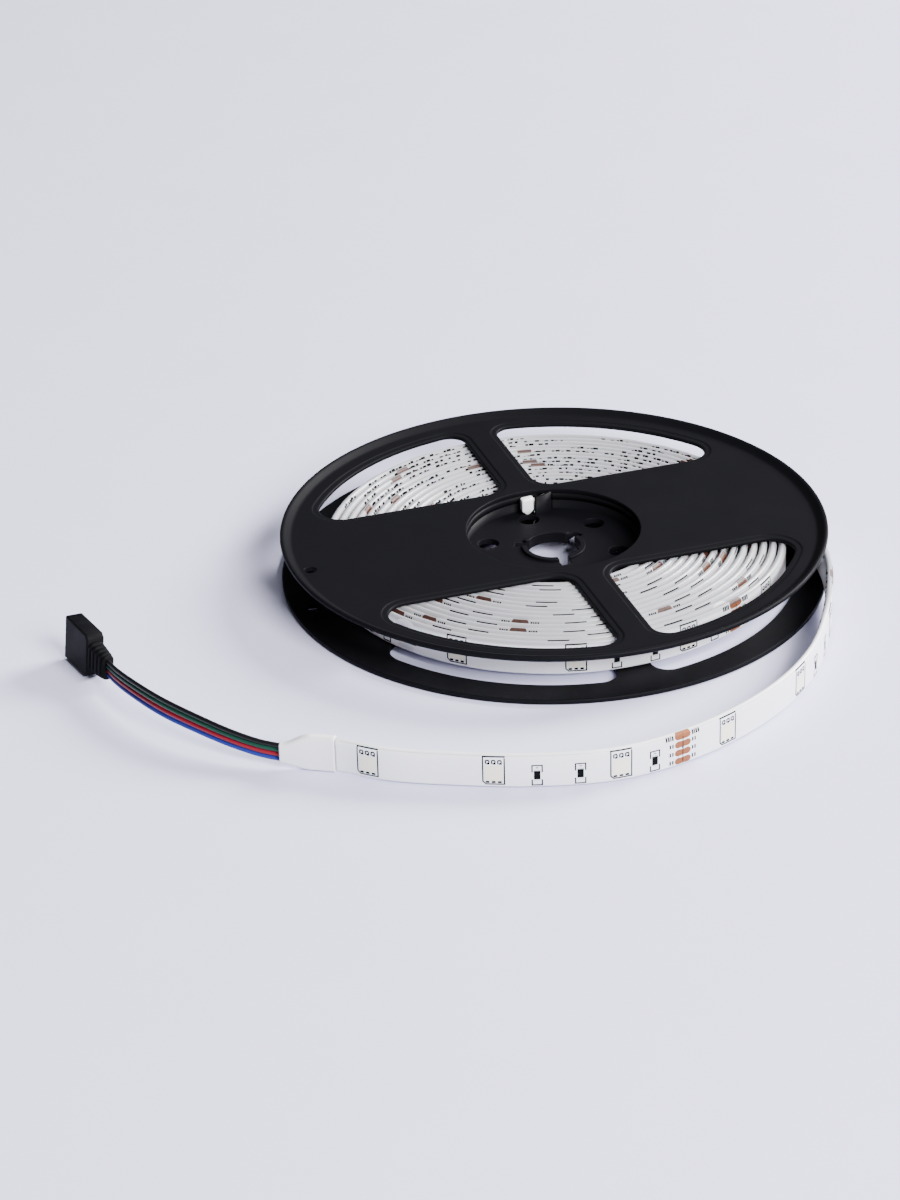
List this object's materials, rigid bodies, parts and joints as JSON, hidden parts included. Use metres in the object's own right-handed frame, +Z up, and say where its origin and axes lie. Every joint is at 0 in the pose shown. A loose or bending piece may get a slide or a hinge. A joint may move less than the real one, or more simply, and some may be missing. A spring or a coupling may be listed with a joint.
{
  "type": "led strip light reel",
  "caption": "Silicone-coated LED strip wound on a flat black reel, with its free end, sleeve, four wires and connector laid out in front.",
  "frame": {"origin": "on the supporting surface, under the middle of the reel and its strip, the wires and connector apart", "axes": "+Z up along the reel's axis; +X to the right of someone facing the free end; -Y towards them"},
  "size_m": [0.2186, 0.2028, 0.015],
  "materials": {
    "black_plastic": "satin",
    "white_silicone": "gloss",
    "led_lens": "gloss",
    "resistor_body": "matte",
    "wire_black": "satin",
    "wire_green": "satin",
    "wire_red": "satin",
    "wire_blue": "satin",
    "pin_metal": "gloss"
  },
  "bodies": {
    "root": {"lower_flange": "black_plastic", "upper_flange": "black_plastic", "led_strip": "white_silicone", "inner_end_cap": "white_silicone", "led_1": "led_lens", "led_2": "led_lens", "led_3": "led_lens", "led_4": "led_lens", "led_5": "led_lens", "led_6": "led_lens", "resistor_1": "resistor_body", "resistor_2": "resistor_body", "resistor_3": "resistor_body", "resistor_4": "resistor_body", "resistor_5": "resistor_body", "resistor_6": "resistor_body", "shrink_sleeve": "white_silicone", "wire_black": "wire_black", "wire_green": "wire_green", "wire_red": "wire_red", "wire_blue": "wire_blue", "connector_housing": "black_plastic", "pin_1": "pin_metal", "pin_2": "pin_metal", "pin_3": "pin_metal", "pin_4": "pin_metal"}
  },
  "joints": []
}
